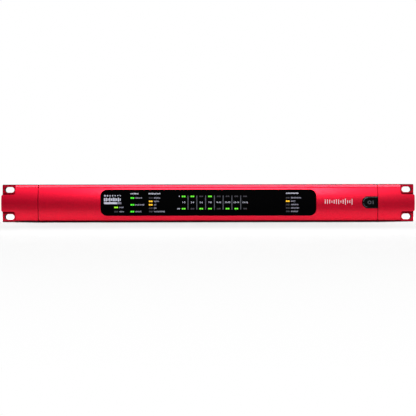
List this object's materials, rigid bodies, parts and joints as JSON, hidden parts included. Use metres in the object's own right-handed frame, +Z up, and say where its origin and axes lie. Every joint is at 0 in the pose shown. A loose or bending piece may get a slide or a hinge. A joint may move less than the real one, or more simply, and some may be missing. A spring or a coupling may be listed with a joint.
{
  "type": "rack-mount audio interface",
  "caption": "Red one-unit rack audio interface: convex anodised fascia, black indicator window, D-shaped power button, rear audio, clock, network and mains sockets",
  "frame": {"origin": "centre of the four rack slots, on the plane that meets the rack rails", "axes": "+X to the front viewer's right, +Y from the face to the rear, +Z up"},
  "size_m": [0.4826, 0.2439, 0.044],
  "materials": {
    "red_anodised": "fine bead blast under red anodising, soft sheen",
    "black_coat": "fine textured black powder coat",
    "window_gloss": "gloss black acrylic",
    "black_gloss": "satin gloss black",
    "black_plastic": "moulded black",
    "grey_plastic": "moulded grey",
    "led_lens": "clear lens over green and amber dice",
    "board_laminate": "green solder mask",
    "bare_steel": "zinc plated",
    "bare_aluminium": "plain extruded",
    "black_aluminium": "black anodised",
    "plated_brass": "plain brass",
    "plated_contact": "nickel plated",
    "gold_contact": "gold flashed",
    "capacitor_can": "dark sleeve, bright top",
    "winding_tape": "yellow winding tape",
    "insulator_sheet": "thin fibre sheet",
    "black_screw": "black oxide",
    "wire_red": "PVC insulation",
    "wire_brown": "PVC insulation"
  },
  "bodies": {
    "case": {"chassis_base": "black_coat", "top_cover": "black_coat", "rear_panel": "black_coat", "rack_flange_left": "black_coat", "rack_flange_right": "black_coat", "ear_left": "red_anodised", "ear_right": "red_anodised", "fascia_centre": "red_anodised", "display_window": "window_gloss", "light_mask": "black_plastic", "front_board": "board_laminate", "led_array": "led_lens", "power_switch": "black_plastic", "switch_bracket": "bare_steel", "main_board": "board_laminate", "board_standoffs": "plated_brass", "board_screws": "bare_steel", "network_board": "board_laminate", "network_processor": "black_plastic", "processor_heatsink": "black_aluminium", "logic_chips": "black_plastic", "signal_transformers": "black_plastic", "board_capacitors": "capacitor_can", "supply_a_board": "board_laminate", "supply_b_board": "board_laminate", "supply_a_transformer": "winding_tape", "supply_b_transformer": "winding_tape", "supply_a_heatsink": "bare_aluminium", "supply_b_heatsink": "bare_aluminium", "supply_a_capacitors": "capacitor_can", "supply_b_capacitors": "capacitor_can", "supply_insulator": "insulator_sheet", "fan_frame": "black_plastic", "fan_screws": "bare_steel", "mains_inlet_a": "black_plastic", "mains_inlet_b": "black_plastic", "mains_pins": "plated_contact", "network_socket_a": "black_plastic", "network_socket_b": "black_plastic", "word_clock_in": "plated_contact", "word_clock_out": "plated_contact", "multiway_socket_a": "plated_contact", "multiway_socket_b": "plated_contact", "jackscrews": "plated_contact", "spdif_in": "gold_contact", "spdif_out": "gold_contact", "ribbon_cable": "grey_plastic", "ribbon_headers": "black_plastic", "dc_leads": "wire_red", "mains_leads": "wire_brown", "cover_screws": "black_screw", "bracket_screws": "black_screw", "front_wall_screws": "bare_steel", "connector_screws": "black_screw", "earth_stud": "plated_brass"},
    "power_key": {"power_button": "black_gloss", "push_rod": "grey_plastic"},
    "fan_wheel": {"fan_rotor": "black_plastic"},
    "latch_a": {"socket_latch_a": "plated_contact"},
    "latch_b": {"socket_latch_b": "plated_contact"}
  },
  "joints": [
    {"name": "press_power_button", "type": "slide", "parent": "case", "child": "power_key", "axis": [0, 1, 0], "range_m": [0, 0.003], "stiffness_N_per_m": 600},
    {"name": "spin_fan", "type": "hinge", "parent": "case", "child": "fan_wheel", "pos_m": [-0.2088, 0.08, 0], "axis": [1, 0, 0], "continuous": true},
    {"name": "press_latch_a", "type": "slide", "parent": "case", "child": "latch_a", "axis": [0, 0, -1], "range_m": [0, 0.001], "stiffness_N_per_m": 400},
    {"name": "press_latch_b", "type": "slide", "parent": "case", "child": "latch_b", "axis": [0, 0, -1], "range_m": [0, 0.001], "stiffness_N_per_m": 400}
  ]
}
